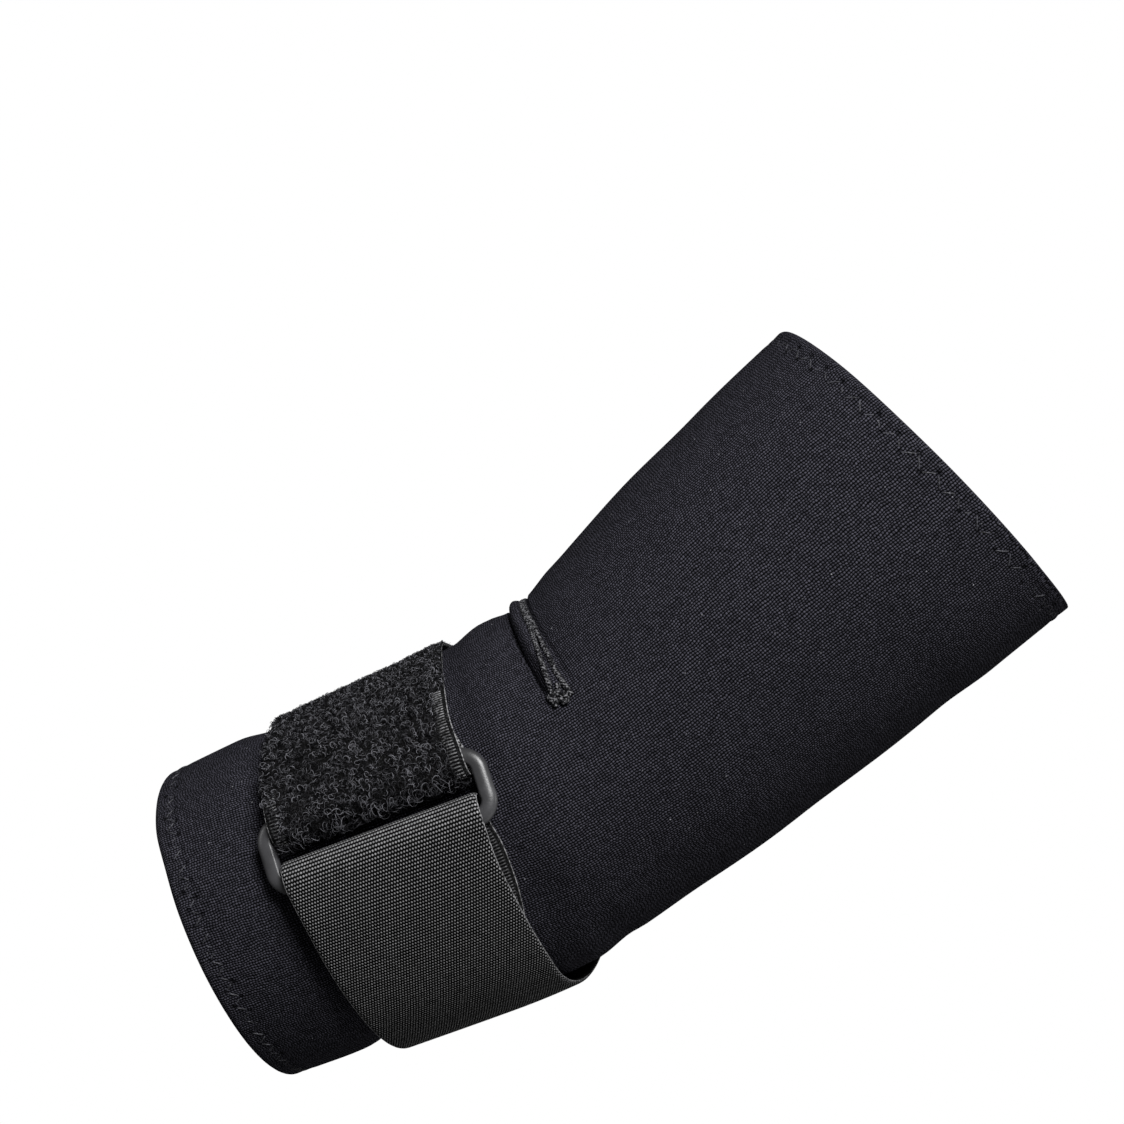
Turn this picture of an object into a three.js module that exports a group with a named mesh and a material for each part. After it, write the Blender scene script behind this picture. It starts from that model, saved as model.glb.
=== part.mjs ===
// Elbow support of the kind worn for tennis elbow: a stretchy padded sleeve with a slight bend, and a
// webbing strap drawn tight round its narrow half through a moulded ring.
// Millimetres and degrees. The origin is the middle of the bend, +X runs to the wide end, +Z points to
// the inside of the bend and -Y is the side that carries the ring.

import * as THREE from "three";

// Sleeve
const WALL = 3.5;
const BEND = 19.7;
const BEND_HALF_LENGTH = 36;
const WIDE_MOUTH_SLANT = 2.8;
const RIM_STEPS = 4;
const AROUND_STEPS = 60;
const INNER_STRIDE = 3;

// Outline of the sleeve: half height in the plane of the bend and half width across it.
const SLEEVE_SECTIONS = [
  { along: -96, halfHeight: 40.6, halfWidth: 41.4 },
  { along: -73, halfHeight: 41.6, halfWidth: 42.4 },
  { along: -20, halfHeight: 42.7, halfWidth: 43.2 },
  { along: 6, halfHeight: 41.6, halfWidth: 41.6 },
  { along: 30, halfHeight: 43.3, halfWidth: 42.4 },
  { along: 65, halfHeight: 46.2, halfWidth: 44.4 },
  { along: 114.2, halfHeight: 48.8, halfWidth: 45.4 },
];
const NARROW_MOUTH = SLEEVE_SECTIONS[0].along;
const WIDE_MOUTH = SLEEVE_SECTIONS.at(-1).along;

// Sewn dart across the inside of the bend: a broad pinch, with a ridge between two grooves.
const DART_FOLDS = [
  { along: 12.5, halfWidth: 14, height: -1.1 },
  { along: 8.4, halfWidth: 1.9, height: -0.6 },
  { along: 11.6, halfWidth: 3.0, height: 1.5 },
  { along: 15.2, halfWidth: 1.9, height: -0.3 },
];
const DART_START = 6.5;
const DART_END = 17.1;
const DART_MIDDLE = 90;
const DART_HALF_ANGLE = 84;
const DART_FADE_ANGLE = 22;

// Strap
const STRAP_WIDTH = 50;
const STRAP_THICKNESS = 2;
const STRAP_EDGE = -67;
const STRAP_BOW = 1;
const STRAP_SKEW = 4;
const STRAP_CINCH = 1.45;
const CINCH_FADE = 10;
const STRAP_GAP = 0.5;
const LAYER_GAP = 0.3;
const ACROSS_STEPS = 5;
const STEPS_PER_KEY = 2;
const TURN_STEP = 45;
const LOW_LAYER = STRAP_GAP + STRAP_THICKNESS / 2;
const HIGH_LAYER = LOW_LAYER + STRAP_THICKNESS + LAYER_GAP;

// The strap stands off along the outside of the bend, most at the edge next to the bend.
const FLARE_MIDDLE = -90;
const FLARE_HALF_ANGLE = 62;
const FLARE_AT_OUTER_EDGE = 0.6;
const FLARE_AT_BEND_EDGE = 1.7;

// Ring
const RING_LENGTH = 59;
const RING_HEIGHT = 19.5;
const RING_THICKNESS = 3.2;
const RING_BAR = 4.2;
const RING_END_BAR = 4;
const RING_CORNER = 6.5;
const RING_WINDOW_CORNER = 2;
const RING_EDGE = 1.4;
const RING_EDGE_STEPS = 3;
const RING_CORNER_STEPS = 5;
const RING_ANGLE = 1.1;
const RING_CLEARANCE = 0.5;
const RING_LIFT = STRAP_GAP + STRAP_THICKNESS + RING_CLEARANCE + RING_THICKNESS / 2;

const radians = THREE.MathUtils.degToRad;

// A smooth curve through one column of a table, with central slopes at the rows.
function smooth(table, column, at) {
  const last = table.length - 1;
  const slope = (i) => {
    const before = table[Math.max(i - 1, 0)];
    const after = table[Math.min(i + 1, last)];
    return (after[column] - before[column]) / (after.along - before.along);
  };
  let i = 0;
  while (i < last - 1 && at > table[i + 1].along) i += 1;
  const span = table[i + 1].along - table[i].along;
  const p = (at - table[i].along) / span;
  const rise = table[i + 1][column] - table[i][column];
  const ease = p * p * (3 - 2 * p);
  const bow = p * (1 - p) * ((1 - p) * slope(i) - p * slope(i + 1));
  return table[i][column] + ease * rise + span * bow;
}

// One in the middle of a band, falling to nothing at its edges.
function bump(distance, halfWidth) {
  const share = Math.min(Math.abs(distance) / halfWidth, 1);
  return (1 - share * share) ** 2;
}

// Zero below the low end, one above the high end, and a soft slope between.
function ramp(value, low, high) {
  return THREE.MathUtils.smoothstep(value, low, high);
}

// The turn from one angle to another, between -180 and 180.
function turnFrom(middle, angle) {
  return THREE.MathUtils.euclideanModulo(angle - middle + 180, 360) - 180;
}

// The sleeve's middle line: an arc through the bend with a straight run at each end.
function middleLine(along) {
  const radius = BEND_HALF_LENGTH / radians(BEND / 2);
  const onArc = THREE.MathUtils.clamp(along, -BEND_HALF_LENGTH, BEND_HALF_LENGTH);
  const heading = onArc / radius;
  const beyond = along - onArc;
  const x = radius * Math.sin(heading) + beyond * Math.cos(heading);
  const z = radius * (1 - Math.cos(heading)) + beyond * Math.sin(heading);
  return { x, z, heading };
}

// Height of the dart's ridge and grooves above the sleeve.
function dartRelief(along, angle) {
  const offMiddle = Math.abs(turnFrom(DART_MIDDLE, angle));
  const fade = 1 - ramp(offMiddle, DART_HALF_ANGLE - DART_FADE_ANGLE, DART_HALF_ANGLE);
  const folds = DART_FOLDS.map((fold) => fold.height * bump(along - fold.along, fold.halfWidth));
  return fade * folds.reduce((sum, height) => sum + height);
}

// How far along the sleeve a place across the strap lies, for a strap of even width on the bend.
function strapAlong(across, angle) {
  const upwards = Math.sin(radians(angle));
  const edge = STRAP_EDGE + STRAP_BOW * upwards ** 2;
  const straight = -BEND_HALF_LENGTH - edge;
  const distance = across * STRAP_WIDTH;
  if (distance <= straight) return edge + distance;
  const bendRadius = BEND_HALF_LENGTH / radians(BEND / 2);
  const radius = smooth(SLEEVE_SECTIONS, "halfHeight", -BEND_HALF_LENGTH);
  return -BEND_HALF_LENGTH + (distance - straight) / (1 - (radius / bendRadius) * upwards);
}

// The strap presses the sleeve in over its own width, and a little way past its edges.
function strapCinch(along, angle) {
  const from = strapAlong(0, angle);
  const to = strapAlong(1, angle);
  const share = ramp(along, from - CINCH_FADE, from) - ramp(along, to, to + CINCH_FADE);
  return -STRAP_CINCH * share;
}

// A point on the sleeve, lifted off its outer face. Angle 0 is the ring's side, 90 the inside of the bend.
function onSleeve(along, angle, lift) {
  const { x, z, heading } = middleLine(along);
  const halfHeight = smooth(SLEEVE_SECTIONS, "halfHeight", along);
  const halfWidth = smooth(SLEEVE_SECTIONS, "halfWidth", along);
  const sideways = Math.cos(radians(angle));
  const upwards = Math.sin(radians(angle));
  const normal = new THREE.Vector2(sideways / halfWidth, upwards / halfHeight).normalize();
  const height = lift + strapCinch(along, angle) + dartRelief(along, angle);
  const out = sideways * halfWidth + normal.x * height;
  const up = upwards * halfHeight + normal.y * height;
  return new THREE.Vector3(x - Math.sin(heading) * up, -out, z + Math.cos(heading) * up);
}

// A closed solid whose skin joins rings of points, either all the way round or with a cap at each end.
// A capped ring is two rows of points laid face to face, so each cap is a row of quads.
function skin(rings, isLoop) {
  const size = rings[0].length;
  const faces = [];
  const quad = (a, b, c, d) => faces.push(a, b, c, a, c, d);
  const lastRing = isLoop ? rings.length : rings.length - 1;
  for (let i = 0; i < lastRing; i += 1) {
    const here = i * size;
    const next = ((i + 1) % rings.length) * size;
    for (let j = 0; j < size; j += 1) {
      const k = (j + 1) % size;
      quad(here + j, here + k, next + k, next + j);
    }
  }
  if (!isLoop) {
    const end = (rings.length - 1) * size;
    for (let j = 0; j < size / 2 - 1; j += 1) {
      const across = size - 1 - j;
      quad(across, across - 1, j + 1, j);
      quad(end + j, end + j + 1, end + across - 1, end + across);
    }
  }
  const geometry = new THREE.BufferGeometry().setFromPoints(rings.flat());
  geometry.setIndex(faces);
  geometry.computeVertexNormals();
  return geometry;
}

// Places along the sleeve where its skin gets a row of points: close together over the dart.
function sleeveStations() {
  const runs = [
    { from: NARROW_MOUTH + WALL / 2, to: DART_START, steps: 18 },
    { from: DART_START, to: DART_END, steps: 12 },
    { from: DART_END, to: WIDE_MOUTH - WALL / 2, steps: 12 },
  ];
  const stations = [runs[0].from];
  for (const run of runs) {
    for (let i = 1; i <= run.steps; i += 1) {
      stations.push(run.from + ((run.to - run.from) * i) / run.steps);
    }
  }
  return stations;
}

// A round lip from the outer face to the inner one. Side is 1 at the wide mouth and -1 at the narrow one.
function rim(mouth, side) {
  const points = [];
  for (let i = 1; i < RIM_STEPS; i += 1) {
    const turn = (Math.PI * i) / RIM_STEPS;
    const along = mouth - (side * WALL * (1 - Math.sin(turn))) / 2;
    points.push({ along, depth: (WALL * (1 - side * Math.cos(turn))) / 2 });
  }
  return points;
}

// The sleeve wall as one closed skin: out along the outer face, round the soft rim and back inside.
// The wide mouth is cut at a slant, longest on the outside of the bend.
function sleeveGeometry() {
  const outerStations = sleeveStations();
  const innerStations = outerStations.filter((along, i) => i % INNER_STRIDE === 0).reverse();
  const profile = [
    ...outerStations.map((along) => ({ along, depth: 0 })),
    ...rim(WIDE_MOUTH, 1),
    ...innerStations.map((along) => ({ along, depth: WALL })),
    ...rim(NARROW_MOUTH, -1),
  ];
  const rings = [];
  for (let i = 0; i < AROUND_STEPS; i += 1) {
    const angle = (360 * i) / AROUND_STEPS;
    const slant = WIDE_MOUTH_SLANT * Math.sin(radians(angle));
    const ring = profile.map(({ along, depth }) => {
      const place = along - slant * ramp(along, WIDE_MOUTH / 2, WIDE_MOUTH);
      const relief = (depth / WALL) * dartRelief(place, angle);
      return onSleeve(place, angle, -depth - relief);
    });
    rings.push(ring);
  }
  return skin(rings, true);
}

// How far the strap stands off the sleeve where it bridges the outside of the bend.
function strapFlare(across, angle) {
  const share = FLARE_AT_OUTER_EDGE + (FLARE_AT_BEND_EDGE - FLARE_AT_OUTER_EDGE) * across;
  return share * bump(turnFrom(FLARE_MIDDLE, angle), FLARE_HALF_ANGLE);
}

// A point at a height over the sleeve, at a place across the strap's width.
function onStrap(across, angle, lift) {
  const skewed = angle + STRAP_SKEW * (0.5 - across);
  return onSleeve(strapAlong(across, skewed), skewed, lift + strapFlare(across, skewed));
}

// The ring lies flat on the strap's lower layer. Its own axes are x across the strap, y up it and z outwards.
function ringFrame() {
  const outerEnd = onStrap(0, RING_ANGLE, RING_LIFT);
  const bendEnd = onStrap(1, RING_ANGLE, RING_LIFT);
  const along = bendEnd.clone().sub(outerEnd).normalize();
  const middle = onStrap(0.5, RING_ANGLE, RING_LIFT);
  const outwards = middle.clone().sub(onStrap(0.5, RING_ANGLE, 0));
  outwards.addScaledVector(along, -outwards.dot(along)).normalize();
  const up = outwards.clone().cross(along);
  const frame = new THREE.Matrix4().makeBasis(along, up, outwards);
  return frame.setPosition(outerEnd.add(bendEnd).divideScalar(2));
}

// A rectangle with round corners, as a closed outline.
function roundRectangle(outline, width, height, corner) {
  const x = width / 2 - corner;
  const y = height / 2 - corner;
  outline.absarc(x, y, corner, 0, Math.PI / 2);
  outline.absarc(-x, y, corner, Math.PI / 2, Math.PI);
  outline.absarc(-x, -y, corner, Math.PI, 1.5 * Math.PI);
  outline.absarc(x, -y, corner, 1.5 * Math.PI, 2 * Math.PI);
  outline.closePath();
  return outline;
}

// The ring: a flat moulded loop with softened edges.
function ringGeometry() {
  const shape = roundRectangle(new THREE.Shape(), RING_LENGTH, RING_HEIGHT, RING_CORNER);
  const windowLength = RING_LENGTH - 2 * RING_END_BAR;
  const windowHeight = RING_HEIGHT - 2 * RING_BAR;
  const hole = new THREE.Path();
  shape.holes.push(roundRectangle(hole, windowLength, windowHeight, RING_WINDOW_CORNER));
  const geometry = new THREE.ExtrudeGeometry(shape, {
    depth: RING_THICKNESS - 2 * RING_EDGE,
    curveSegments: RING_CORNER_STEPS,
    bevelThickness: RING_EDGE,
    bevelSize: RING_EDGE,
    bevelOffset: -RING_EDGE,
    bevelSegments: RING_EDGE_STEPS,
  });
  return geometry.translate(0, 0, RING_EDGE - RING_THICKNESS / 2);
}

// Rows that the strap follows between the ring's bars, in the order of its length.
const TUCKED_END = [
  { angle: 38, lift: LOW_LAYER },
  { angle: 28, lift: LOW_LAYER },
  { angle: 19, lift: LOW_LAYER + 0.3 },
];
const LEAVING_RING = [
  { angle: 22, lift: 6.9 },
  { angle: 33, lift: 5.0 },
  { angle: 45, lift: 3.2 },
  { angle: 58, lift: 1.8 },
];
const ROUND_SLEEVE = { from: 72, to: 342, step: 15, lift: LOW_LAYER };
const TAIL_LEAVING_RING = [
  { angle: -21, lift: 7.0 },
  { angle: -33, lift: 5.3 },
  { angle: -47, lift: 4.1 },
];
const TAIL = { from: -61, to: -187, step: -14, lift: HIGH_LAYER };

// Turns a row with a range into evenly spaced rows.
function spread({ from, to, step, lift }) {
  const rows = [];
  for (let angle = from; (to - angle) * step >= 0; angle += step) {
    rows.push({ angle, lift });
  }
  return rows;
}

// The strap's turn round one of the ring's bars, as points on the ring's own y and z axes.
function barTurn(side) {
  const reach = RING_THICKNESS / 2 + RING_CLEARANCE + STRAP_THICKNESS / 2;
  const windowEdge = RING_HEIGHT / 2 - RING_BAR;
  const farSide = RING_HEIGHT / 2 - RING_EDGE;
  const turn = [{ y: side * farSide, z: -reach }];
  for (let degrees = -90; degrees <= 90; degrees += TURN_STEP) {
    const y = side * (windowEdge - reach * Math.cos(radians(degrees)));
    turn.push({ y, z: reach * Math.sin(radians(degrees)) });
  }
  turn.push({ y: side * farSide, z: reach });
  return turn;
}

// The middle of the strap's thickness, along its whole length, at one place across its width.
function strapLine(across, frame) {
  const x = (across - 0.5) * STRAP_WIDTH;
  const lay = (rows) => rows.map(({ angle, lift }) => onStrap(across, angle, lift));
  const wrap = (turn) => turn.map(({ y, z }) => new THREE.Vector3(x, y, z).applyMatrix4(frame));
  const keys = [
    ...lay(TUCKED_END),
    ...wrap(barTurn(1)),
    ...lay([...LEAVING_RING, ...spread(ROUND_SLEEVE)]),
    ...wrap(barTurn(-1)),
    ...lay([...TAIL_LEAVING_RING, ...spread(TAIL)]),
  ];
  const curve = new THREE.CatmullRomCurve3(keys, false, "centripetal");
  return curve.getPoints((keys.length - 1) * STEPS_PER_KEY);
}

// The strap as a ribbon of even thickness about its middle lines.
function strapGeometry(frame) {
  const lines = [];
  for (let i = 0; i <= ACROSS_STEPS; i += 1) {
    lines.push(strapLine(i / ACROSS_STEPS, frame));
  }
  const lastStation = lines[0].length - 1;
  const rings = lines[0].map((start, station) => {
    const before = Math.max(station - 1, 0);
    const after = Math.min(station + 1, lastStation);
    const outer = [];
    const inner = [];
    lines.forEach((line, i) => {
      const side = lines[Math.min(i + 1, ACROSS_STEPS)][station].clone();
      side.sub(lines[Math.max(i - 1, 0)][station]);
      const forward = line[after].clone().sub(line[before]);
      const half = side.cross(forward).setLength(STRAP_THICKNESS / 2);
      outer.push(line[station].clone().add(half));
      inner.push(line[station].clone().sub(half));
    });
    return [...outer, ...inner.reverse()];
  });
  return skin(rings, false);
}

function addPiece(group, name, geometry, finish) {
  const mesh = new THREE.Mesh(geometry, new THREE.MeshStandardMaterial(finish));
  mesh.name = name;
  group.add(mesh);
  return mesh;
}

const support = new THREE.Group();
const frame = ringFrame();
addPiece(support, "sleeve", sleeveGeometry(), { color: 0x1e1e22, roughness: 0.92, metalness: 0 });
addPiece(support, "strap", strapGeometry(frame), { color: 0x232325, roughness: 0.8, metalness: 0 });
const ring = addPiece(support, "buckle_ring", ringGeometry(), {
  color: 0x343436,
  roughness: 0.45,
  metalness: 0,
});
frame.decompose(ring.position, ring.quaternion, ring.scale);

export default support;
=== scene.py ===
# Elbow support: a padded knit sleeve with a dart sewn into its bend, and a pile strap drawn through a ring.
# Sizes are in millimetres and angles in degrees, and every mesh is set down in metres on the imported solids.
import math

import bpy
import numpy as np
from mathutils import Matrix, Vector


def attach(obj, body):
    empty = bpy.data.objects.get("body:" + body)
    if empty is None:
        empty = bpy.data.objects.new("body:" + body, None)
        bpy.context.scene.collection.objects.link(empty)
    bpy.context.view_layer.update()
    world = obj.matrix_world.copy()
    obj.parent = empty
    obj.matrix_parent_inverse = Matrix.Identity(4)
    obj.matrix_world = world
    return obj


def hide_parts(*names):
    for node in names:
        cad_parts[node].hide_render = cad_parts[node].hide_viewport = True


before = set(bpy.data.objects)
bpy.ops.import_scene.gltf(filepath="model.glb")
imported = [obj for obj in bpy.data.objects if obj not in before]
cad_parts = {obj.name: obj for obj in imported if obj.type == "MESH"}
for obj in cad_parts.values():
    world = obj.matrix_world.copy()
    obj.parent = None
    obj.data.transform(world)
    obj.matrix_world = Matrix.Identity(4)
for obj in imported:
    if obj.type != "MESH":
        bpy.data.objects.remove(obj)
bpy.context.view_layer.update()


# Sleeve: one tube of foam rubber, faced inside and out with a fine black stretch knit. It keeps the bend
# that it is worn on, is drawn in where the strap goes round, and has soft turned rims at both mouths.
MM = 0.001
WALL = 3.5
BEND = math.radians(19.7)
BEND_HALF_LENGTH = 36.0
BEND_RADIUS = 2 * BEND_HALF_LENGTH / BEND
WIDE_MOUTH_SLANT = 2.8

# Sections of the tube: places along its middle line, and half its height and its width there.
SECTION_ALONG = np.array([-96.0, -73.0, -20.0, 6.0, 30.0, 65.0, 114.2])
SECTION_HALF_HEIGHT = np.array([40.6, 41.6, 42.7, 41.6, 43.3, 46.2, 48.8])
SECTION_HALF_WIDTH = np.array([41.4, 42.4, 43.2, 41.6, 42.4, 44.4, 45.4])
NARROW_MOUTH = SECTION_ALONG[0]
WIDE_MOUTH = SECTION_ALONG[-1]

# The strap presses the sleeve in over its own width, so its place is part of the sleeve's form.
STRAP_WIDTH = 50.0
STRAP_EDGE = -67.0
STRAP_BOW = 1.0
STRAP_CINCH = 1.45
CINCH_FADE = 10.0

# The dart: a broad pinch, a rolled ridge behind a sharp groove, and a soft groove past the stitching. Angles
# are counted from its middle. The sharp groove slides and deepens between two of them.
DART_MIDDLE = 90.0
DART_FULL = 70.0
DART_ENDS = 81.0
PINCH_FULL = 62.0
PINCH_ENDS = 84.0
PINCH_ALONG = 12.5
PINCH_HALF_BREADTH = 14.0
PINCH_DEPTH = 1.1
RIDGE_ALONG = 11.2
RIDGE_HALF_BREADTH = 2.9
RIDGE_HEIGHT = 1.6
GROOVE_ALONG = 7.8
GROOVE_SLIDE = 1.2
GROOVE_SLIDE_ANGLES = (20.0, 65.0)
GROOVE_HALF_BREADTH = 1.1
GROOVE_DEPTH = 1.5
GROOVE_LEAST = 0.3
GROOVE_DEPTH_ANGLES = (10.0, 45.0)
FAR_GROOVE_ALONG = 15.4
FAR_GROOVE_HALF_BREADTH = 1.4
FAR_GROOVE_DEPTH = 0.5

# Broad soft waves in the cloth: how many go round, how long they are along the sleeve, where they start, in
# radians, and how high they stand.
WAVE_TURNS = np.array([3, 5, 8, 11])
WAVE_LENGTH = np.array([83.0, 61.0, 94.0, 37.0])
WAVE_START = np.array([0.6, 2.1, 4.0, 1.3])
WAVE_HEIGHT = np.array([0.08, 0.06, 0.05, 0.03])

# Each hem is drawn in a little along its zigzag stitches, and pitted where the needle went through.
HEM_INSET = 4.4
HEM_BREADTH = 2.8
HEM_DENT = 0.12
HEM_GIRTH = 275.0
PIT_RADIUS = 0.8
PIT_LEAST = 0.35
WIDE_ZIGZAGS = 46
NARROW_ZIGZAGS = 58

# The cloth has settled in wear: heights along its underside and along the inside of the bend, and a bulge
# below that rises beside the strap over one stretch and falls again over another.
UNDERSIDE = -90.0
SETTLED_HALF_ANGLE = 72.0
BELOW_ALONG = np.array([-97.0, -82.0, -68.0, -12.0, -4.0, 12.0, 40.0, 76.0, 92.0, 115.0])
BELOW_HEIGHT = np.array([0.5, 0.5, 0.0, 0.0, 0.6, 0.45, 0.0, 0.0, 1.05, 1.05])
ABOVE_ALONG = np.array([-97.0, -14.0, -6.0, 3.0, 8.0, 25.0, 56.0, 80.0, 115.0])
ABOVE_HEIGHT = np.array([0.0, 0.0, 0.55, 0.55, 0.0, 0.0, 0.6, 0.0, -0.8])
BULGE_HALF_ANGLE = 48.0
BULGE_HEIGHT = 2.9
BULGE_RISE = (-36.0, -23.0)
BULGE_FALL = (-18.0, -8.0)

# The lines of both mouths wander a little: angles, and how far the edge reaches out there.
WIDE_LINE_ANGLE = np.array([-180.0, -120.0, -92.0, -64.0, -50.0, -20.0, 0.0, 25.0, 45.0, 62.0, 80.0, 180.0])
WIDE_LINE = np.array([0.0, -0.3, -0.85, -0.7, -0.3, 0.48, 0.73, 0.88, 0.45, -0.1, -0.5, 0.0])
NARROW_LINE_ANGLE = np.array([-180.0, -90.0, -60.0, -40.0, 0.0, 18.0, 34.0, 50.0, 75.0, 180.0])
NARROW_LINE = np.array([0.0, 0.1, 0.35, 0.45, 0.7, 0.6, 1.1, 0.7, 0.0, 0.0])
NARROW_LINE_FADE = 25.0

# Both rims are round, but the wide one is crisper below, from one share of the way down to another.
RIM_CRISPNESS = 0.8
RIM_CRISP_SHARES = (0.2, 0.9)

# Steps of the mesh: round the sleeve, round a rim, and along each stretch, which are hem, plain, dart, plain
# and hem. The inner face keeps every fourth row.
AROUND_STEPS = 288
RIM_STEPS = 14
ALONG_STEPS = (14, 56, 56, 50, 14)
HEM_STRETCH = 10.0
DART_MARGIN = 3.0
INNER_STRIDE = 4

# The knit: wales round the sleeve, the height of a course, and how its stitches lean, wander and differ.
WALES = 416
COURSE = 0.71
KNIT_LEAN = 0.05
KNIT_WANDER = 1.4
STITCH_SHIFT = 0.6
# The knit's colours: black with painted shade for the gaps and pits, a lighter bluish tone as painted
# highlight on the stitch tops, and lint.
KNIT_DARK = (0.001, 0.001, 0.0013, 1)
KNIT_PAINTED_HIGHLIGHT = (0.071, 0.0695, 0.0885, 1)
LINT = (0.26, 0.26, 0.28, 1)


def smooth(values, at, places=SECTION_ALONG):
    """A smooth curve through one column of the sleeve's sections, or other values, with central slopes."""
    slopes = np.gradient(values, places)
    slopes[1:-1] = (values[2:] - values[:-2]) / (places[2:] - places[:-2])
    i = np.searchsorted(places[1:-1], at)
    span = places[i + 1] - places[i]
    p = (at - places[i]) / span
    ease = p * p * (3 - 2 * p)
    bow = p * (1 - p) * ((1 - p) * slopes[i] - p * slopes[i + 1])
    return values[i] + ease * (values[i + 1] - values[i]) + span * bow


def bump(distance, half_breadth):
    """One in the middle of a band, falling to nothing at its edges."""
    share = np.minimum(np.abs(distance) / half_breadth, 1)
    return (1 - share * share) ** 2


def ramp(value, low, high):
    """Zero below the low end, one above the high end, and a soft slope between."""
    share = np.clip((value - low) / (high - low), 0, 1)
    return share * share * (3 - 2 * share)


def turn_from(middle, angle):
    """The turn from one angle to another, between -180 and 180."""
    return (angle - middle + 180) % 360 - 180


def unit(vectors):
    """The same directions, with a length of one."""
    return vectors / np.linalg.norm(vectors, axis=-1, keepdims=True)


def strap_along(across, angle):
    """How far along the sleeve a place across the strap lies, for a strap of even width on the bend."""
    upwards = np.sin(np.radians(angle))
    edge = STRAP_EDGE + STRAP_BOW * upwards**2
    straight = -BEND_HALF_LENGTH - edge
    distance = across * STRAP_WIDTH
    radius = smooth(SECTION_HALF_HEIGHT, -BEND_HALF_LENGTH)
    on_bend = -BEND_HALF_LENGTH + (distance - straight) / (1 - radius / BEND_RADIUS * upwards)
    return np.where(distance <= straight, edge + distance, on_bend)


def strap_cinch(along, angle):
    """The change of height where the strap presses the sleeve in, over its width and a little past it."""
    start = strap_along(0, angle)
    end = strap_along(1, angle)
    return -STRAP_CINCH * (ramp(along, start - CINCH_FADE, start) - ramp(along, end, end + CINCH_FADE))


def on_sleeve(along, angle, lift):
    """Points lifted off the sleeve's outer face. Angle 0 is the ring's side, 90 the inside of the bend."""
    along, angle, lift = np.broadcast_arrays(along, angle, lift)
    on_arc = np.clip(along, -BEND_HALF_LENGTH, BEND_HALF_LENGTH)
    heading = on_arc / BEND_RADIUS
    beyond = along - on_arc
    x = BEND_RADIUS * np.sin(heading) + beyond * np.cos(heading)
    z = BEND_RADIUS * (1 - np.cos(heading)) + beyond * np.sin(heading)
    half_height = smooth(SECTION_HALF_HEIGHT, along)
    half_width = smooth(SECTION_HALF_WIDTH, along)
    sideways = np.cos(np.radians(angle))
    upwards = np.sin(np.radians(angle))
    slope = np.hypot(sideways / half_width, upwards / half_height)
    height = lift + strap_cinch(along, angle)
    out = sideways * half_width + sideways / half_width / slope * height
    up = upwards * half_height + upwards / half_height / slope * height
    return np.stack([x - np.sin(heading) * up, -out, z + np.cos(heading) * up], axis=-1)


def settled(along, places, heights):
    """A soft line through heights at places along the sleeve, level at each of them."""
    i = np.clip(np.searchsorted(places, along) - 1, 0, len(places) - 2)
    return heights[i] + (heights[i + 1] - heights[i]) * ramp(along, places[i], places[i + 1])


def sleeve_relief(along, angle):
    """Height of the dart's folds, the cloth's soft waves and its settling, above the plain sleeve."""
    off_dart = np.abs(turn_from(DART_MIDDLE, angle))
    pinch = PINCH_DEPTH * bump(along - PINCH_ALONG, PINCH_HALF_BREADTH)
    ridge = RIDGE_HEIGHT * bump(along - RIDGE_ALONG, RIDGE_HALF_BREADTH)
    groove_along = GROOVE_ALONG + GROOVE_SLIDE * (1 - ramp(off_dart, *GROOVE_SLIDE_ANGLES))
    groove = GROOVE_DEPTH * bump(along - groove_along, GROOVE_HALF_BREADTH)
    groove = groove * (GROOVE_LEAST + (1 - GROOVE_LEAST) * ramp(off_dart, *GROOVE_DEPTH_ANGLES))
    far_groove = FAR_GROOVE_DEPTH * bump(along - FAR_GROOVE_ALONG, FAR_GROOVE_HALF_BREADTH)
    relief = (ridge - groove - far_groove) * (1 - ramp(off_dart, DART_FULL, DART_ENDS))
    relief = relief - pinch * (1 - ramp(off_dart, PINCH_FULL, PINCH_ENDS))
    for turns, length, start, height in zip(WAVE_TURNS, WAVE_LENGTH, WAVE_START, WAVE_HEIGHT):
        relief = relief + height * np.cos(turns * np.radians(angle) + 2 * np.pi * along / length + start)
    off_bottom = turn_from(UNDERSIDE, angle)
    below = settled(along, BELOW_ALONG, BELOW_HEIGHT) * bump(off_bottom, SETTLED_HALF_ANGLE)
    above = settled(along, ABOVE_ALONG, ABOVE_HEIGHT) * bump(off_dart, SETTLED_HALF_ANGLE)
    swell = ramp(along, *BULGE_RISE) - ramp(along, *BULGE_FALL)
    bulge = BULGE_HEIGHT * swell * bump(off_bottom, BULGE_HALF_ANGLE)
    return relief + below + above + bulge


def on_face(along, angle, lift, depth=0.0):
    """Points over the sleeve's finished face, at a depth in its wall. The wide mouth is cut at a slant."""
    turned = turn_from(0, angle)
    wide_reach = smooth(WIDE_LINE, turned, WIDE_LINE_ANGLE) - WIDE_MOUTH_SLANT * np.sin(np.radians(angle))
    narrow_reach = smooth(NARROW_LINE, turned, NARROW_LINE_ANGLE)
    place = along + wide_reach * ramp(along, WIDE_MOUTH / 2, WIDE_MOUTH)
    place = place - narrow_reach * ramp(-along, -NARROW_MOUTH - NARROW_LINE_FADE, -NARROW_MOUTH)
    relief = sleeve_relief(place, angle)
    for inset in (WIDE_MOUTH - along, along - NARROW_MOUTH):
        relief = relief - HEM_DENT * bump(inset - HEM_INSET, HEM_BREADTH)
    return on_sleeve(place, angle, lift - depth + (1 - depth / WALL) * relief)


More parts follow.
